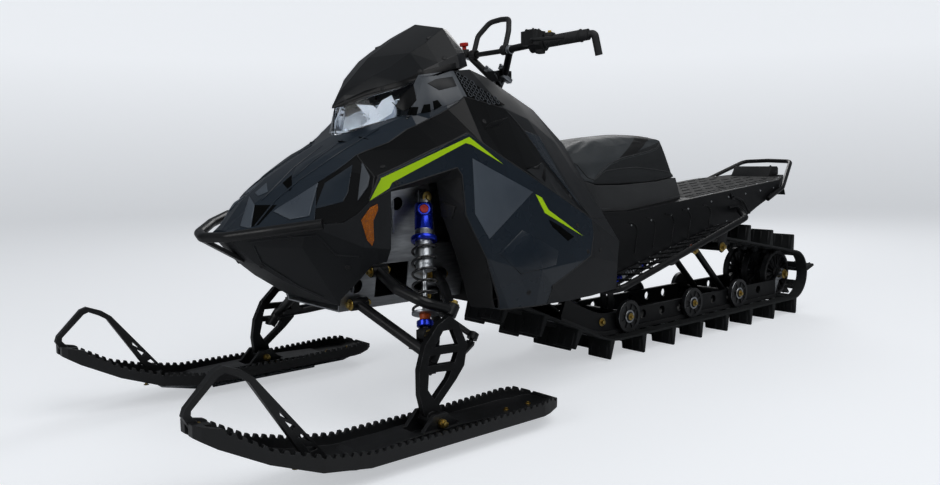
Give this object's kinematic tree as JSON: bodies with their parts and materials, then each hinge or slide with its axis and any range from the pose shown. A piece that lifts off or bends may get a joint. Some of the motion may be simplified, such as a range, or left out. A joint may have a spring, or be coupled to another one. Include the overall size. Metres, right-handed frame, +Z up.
{
  "type": "snowmobile",
  "caption": "Snowmobile with skis, a lugged rubber track, a faceted navy, grey and black body with lime stripes, a low dark windshield and hooked grips.",
  "frame": {"origin": "on the ground, under the middle of the whole machine", "axes": "+X forwards, +Y to the rider's left, +Z up"},
  "size_m": [3.007, 1.092, 1.1602],
  "materials": {
    "body_grey": "satin",
    "body_navy": "gloss",
    "body_black": "gloss",
    "liner_black": "matte",
    "windshield_smoke": "gloss",
    "lens_clear": "clear",
    "lens_red": "red",
    "reflector_bright": "polished",
    "tube_black": "satin powder coat",
    "tunnel_black": "satin powder coat",
    "rail_black": "satin powder coat",
    "sheet_aluminium": "satin",
    "engine_metal": "cast",
    "seat_cover": "vinyl cover",
    "track_rubber": "moulded",
    "slider_plastic": "moulded",
    "wheel_black": "moulded",
    "axle_steel": "machined",
    "shock_silver": "machined",
    "spring_black": "gloss powder coat",
    "grip_rubber": "moulded",
    "ski_black": "moulded",
    "bolt_brass": "zinc yellow"
  },
  "bodies": {
    "chassis": {"bulkhead": "sheet_aluminium", "console": "body_grey", "engine_block": "engine_metal", "front_arms": "tube_black", "front_bumper": "tube_black", "front_springs": "spring_black", "headlight_lenses": "lens_clear", "headlight_reflectors": "reflector_bright", "hood": "body_navy", "nose_pan": "body_grey", "post_bearing": "tube_black", "rear_axle": "axle_steel", "rear_bumper": "tube_black", "running_boards": "tube_black", "seat": "seat_cover", "seat_base": "liner_black", "shocks": "shock_silver", "side_ducts": "body_black", "side_panels": "body_navy", "side_panels_rear": "body_grey", "side_panels_upper": "body_black", "skid_arms": "tube_black", "skid_wheels": "wheel_black", "slide_rails": "rail_black", "sliders": "slider_plastic", "tail_housing": "liner_black", "tail_lens": "lens_red", "track": "track_rubber", "track_drivers": "wheel_black", "tunnel": "tunnel_black", "wheel_wells": "liner_black", "windshield": "windshield_smoke"},
    "handlebar": {"handlebar": "tube_black", "steering_post": "tube_black", "grips": "grip_rubber", "bar_controls": "liner_black", "hand_strap": "grip_rubber"},
    "spindle_left": {"spindle_left": "sheet_aluminium", "ski_left": "ski_black", "ski_bolt_left": "bolt_brass", "ski_loop_left": "ski_black", "ski_keel_left": "axle_steel"},
    "tie_rod_left": {"tie_rod_left": "tube_black"},
    "spindle_right": {"spindle_right": "sheet_aluminium", "ski_right": "ski_black", "ski_bolt_right": "bolt_brass", "ski_loop_right": "ski_black", "ski_keel_right": "axle_steel"},
    "tie_rod_right": {"tie_rod_right": "tube_black"}
  },
  "joints": [
    {"name": "steering", "type": "hinge", "parent": "chassis", "child": "handlebar", "pos_m": [0.228, 0, 0.958], "axis": [-0.5, 0, 0.866], "range_deg": [-35, 35]},
    {"name": "spindle_turn_left", "type": "hinge", "parent": "chassis", "child": "spindle_left", "pos_m": [0.846, 0.41, 0.214], "axis": [-0.5723, -0.1054, 0.8132], "range_deg": [-26.25, 26.25]},
    {"name": "tie_rod_turn_left", "type": "hinge", "parent": "spindle_left", "child": "tie_rod_left", "pos_m": [0.703, 0.4, 0.246], "axis": [-0.5723, -0.1054, 0.8132], "range_deg": [-26.25, 26.25]},
    {"name": "spindle_turn_right", "type": "hinge", "parent": "chassis", "child": "spindle_right", "pos_m": [0.846, -0.41, 0.214], "axis": [-0.5723, 0.1054, 0.8132], "range_deg": [-26.25, 26.25]},
    {"name": "tie_rod_turn_right", "type": "hinge", "parent": "spindle_right", "child": "tie_rod_right", "pos_m": [0.703, -0.4, 0.246], "axis": [-0.5723, 0.1054, 0.8132], "range_deg": [-26.25, 26.25]}
  ],
  "couplings": [
    {"joint": "spindle_turn_left", "follows": "steering", "ratio": 0.75},
    {"joint": "tie_rod_turn_left", "follows": "steering", "ratio": -0.75},
    {"joint": "spindle_turn_right", "follows": "steering", "ratio": 0.75},
    {"joint": "tie_rod_turn_right", "follows": "steering", "ratio": -0.75}
  ]
}
